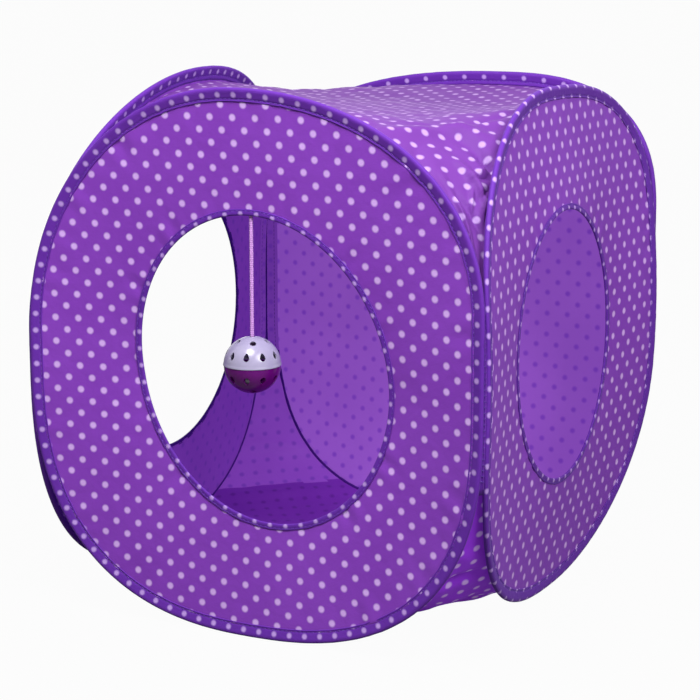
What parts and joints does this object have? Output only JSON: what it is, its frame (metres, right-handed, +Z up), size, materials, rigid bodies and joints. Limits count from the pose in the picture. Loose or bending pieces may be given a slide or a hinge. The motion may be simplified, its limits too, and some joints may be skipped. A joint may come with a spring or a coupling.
{
  "type": "pop-up cat cube",
  "caption": "Pop-up cloth play cube on four sprung wire loops, with round entry holes in three sides and a rattle ball on a cord in the front hole.",
  "frame": {"origin": "middle of the floor cloth's flat underside, on the surface the cube stands on", "axes": "+Z up; the front panel with the hanging ball faces -Y, the right-hand entry panel faces +X"},
  "size_m": [0.3726, 0.3807, 0.4],
  "materials": {
    "panel_cloth": "purple nylon with lilac dots",
    "top_cloth": "purple nylon with lilac dots, in more light",
    "binding_tape": "dark purple dotted tape, stitched",
    "stitching": "purple polyester thread",
    "cord": "pink-lilac woven cord",
    "spring_steel": "oiled spring steel",
    "bell_steel": "plated sheet steel",
    "white_plastic": "glossy white moulding",
    "magenta_plastic": "translucent dark magenta moulding"
  },
  "bodies": {
    "front": {"front_panel": "panel_cloth", "front_wire": "spring_steel", "front_ferrule": "spring_steel", "front_binding": "binding_tape", "front_hole_binding": "binding_tape", "front_left_seam": "stitching", "front_right_seam": "stitching", "top_panel": "top_cloth", "floor_panel": "top_cloth", "cord_tack": "stitching", "cord_tail": "cord"},
    "left": {"left_panel": "panel_cloth", "left_wire": "spring_steel", "left_ferrule": "spring_steel", "left_binding": "binding_tape", "left_hole_binding": "binding_tape", "back_left_seam": "stitching"},
    "right": {"right_panel": "panel_cloth", "right_wire": "spring_steel", "right_ferrule": "spring_steel", "right_binding": "binding_tape", "right_hole_binding": "binding_tape", "back_right_seam": "stitching"},
    "back": {"back_panel": "panel_cloth", "back_wire": "spring_steel", "back_ferrule": "spring_steel", "back_binding": "binding_tape"},
    "cord_stub": {"cord_root": "cord"},
    "cord": {"toy_cord": "cord", "cord_knot": "cord"},
    "ball": {"ball_upper": "white_plastic", "ball_lower": "magenta_plastic", "bell": "bell_steel", "bell_pellet": "bell_steel"}
  },
  "joints": [
    {"name": "fold", "type": "hinge", "parent": "front", "child": "left", "pos_m": [-0.18211, -0.18211, 0.2], "axis": [0, 0, 1], "range_deg": [-84, 84], "deforming": ["top_panel", "floor_panel"]},
    {"name": "right_fold", "type": "hinge", "parent": "front", "child": "right", "pos_m": [0.18211, -0.18211, 0.2], "axis": [0, 0, 1], "range_deg": [-84, 84]},
    {"name": "back_fold", "type": "hinge", "parent": "left", "child": "back", "pos_m": [-0.18211, 0.18211, 0.2], "axis": [0, 0, 1], "range_deg": [-84, 84]},
    {"name": "ball_sway", "type": "hinge", "parent": "front", "child": "cord_stub", "pos_m": [0, -0.17312, 0.3096], "axis": [0, 1, 0], "range_deg": [-40, 40]},
    {"name": "ball_swing", "type": "hinge", "parent": "cord_stub", "child": "cord", "pos_m": [0, -0.17312, 0.3016], "axis": [1, 0, 0], "range_deg": [-45, 45]},
    {"name": "ball_spin", "type": "hinge", "parent": "cord", "child": "ball", "pos_m": [0, -0.17312, 0.204], "axis": [0, 0, 1], "continuous": true}
  ],
  "couplings": [
    {"joint": "right_fold", "follows": "fold", "ratio": 1},
    {"joint": "back_fold", "follows": "fold", "ratio": -1}
  ]
}
